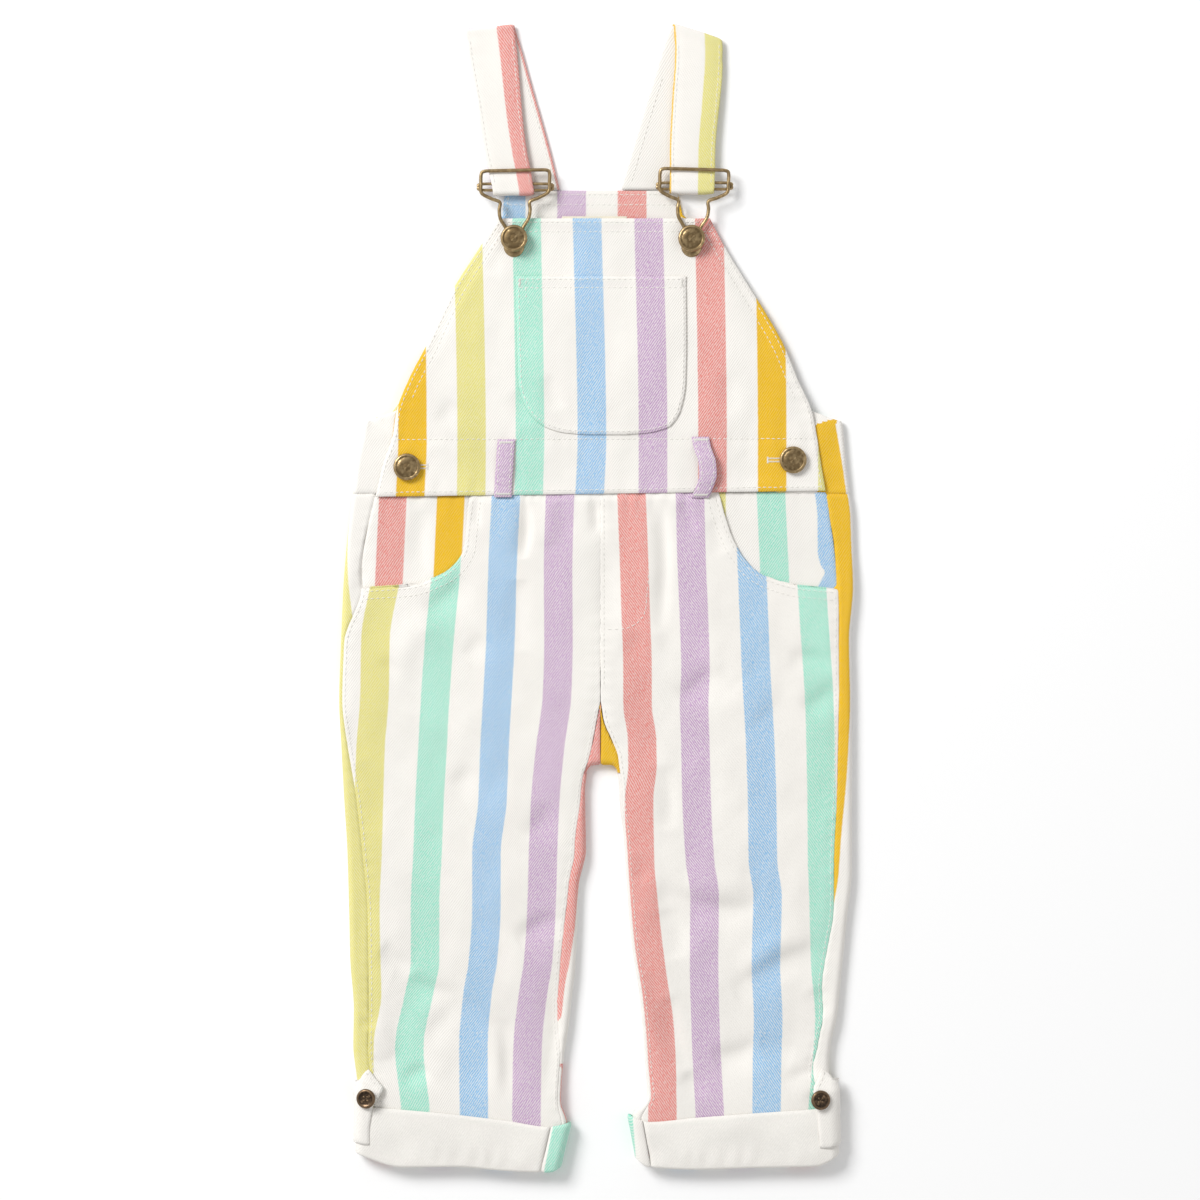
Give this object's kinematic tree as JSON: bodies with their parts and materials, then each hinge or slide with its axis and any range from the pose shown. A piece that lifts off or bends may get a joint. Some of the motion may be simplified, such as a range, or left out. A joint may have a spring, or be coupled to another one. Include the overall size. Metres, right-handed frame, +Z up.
{
  "type": "child's bib overalls",
  "caption": "Child's striped cotton bib overalls laid flat, with patch pocket, curved front pockets, wire buckles, shank buttons and buttoned turn-ups.",
  "frame": {"origin": "middle of the underside's bounding box, on the surface the overalls lie on", "axes": "+Z up out of the front, +Y towards the shoulder straps, +X towards the wearer's left"},
  "size_m": [0.2938, 0.6545, 0.0166],
  "materials": {
    "striped_twill": "cotton twill, off-white with woven-width stripes in gold, lime, mint, blue, lilac and pink",
    "turned_up_cloth": "plain off-white wrong side of the twill",
    "label_cloth": "plain woven tape",
    "antique_brass": "aged brass, dark in the hollows",
    "dark_metal": "dark aged metal"
  },
  "bodies": {
    "root": {"bib_front": "striped_twill", "upper_back": "striped_twill", "bib_pocket": "striped_twill", "back_label": "label_cloth", "front_leg_right": "striped_twill", "front_leg_left": "striped_twill", "back_leg_right": "striped_twill", "back_leg_left": "striped_twill", "pocket_facing_right": "striped_twill", "pocket_facing_left": "striped_twill", "cuff_front_right": "turned_up_cloth", "cuff_front_left": "turned_up_cloth", "cuff_back_right": "turned_up_cloth", "cuff_back_left": "turned_up_cloth", "cuff_tab_right": "turned_up_cloth", "cuff_tab_left": "turned_up_cloth", "tab_button_right": "dark_metal", "tab_button_left": "dark_metal", "belt_loop_right": "striped_twill", "belt_loop_left": "striped_twill", "strap_right": "striped_twill", "strap_left": "striped_twill", "buckle_right": "antique_brass", "buckle_left": "antique_brass", "slider_right": "antique_brass", "slider_left": "antique_brass", "bib_button_right": "antique_brass", "bib_button_left": "antique_brass", "side_button_right": "antique_brass", "side_button_left": "antique_brass"}
  },
  "joints": []
}
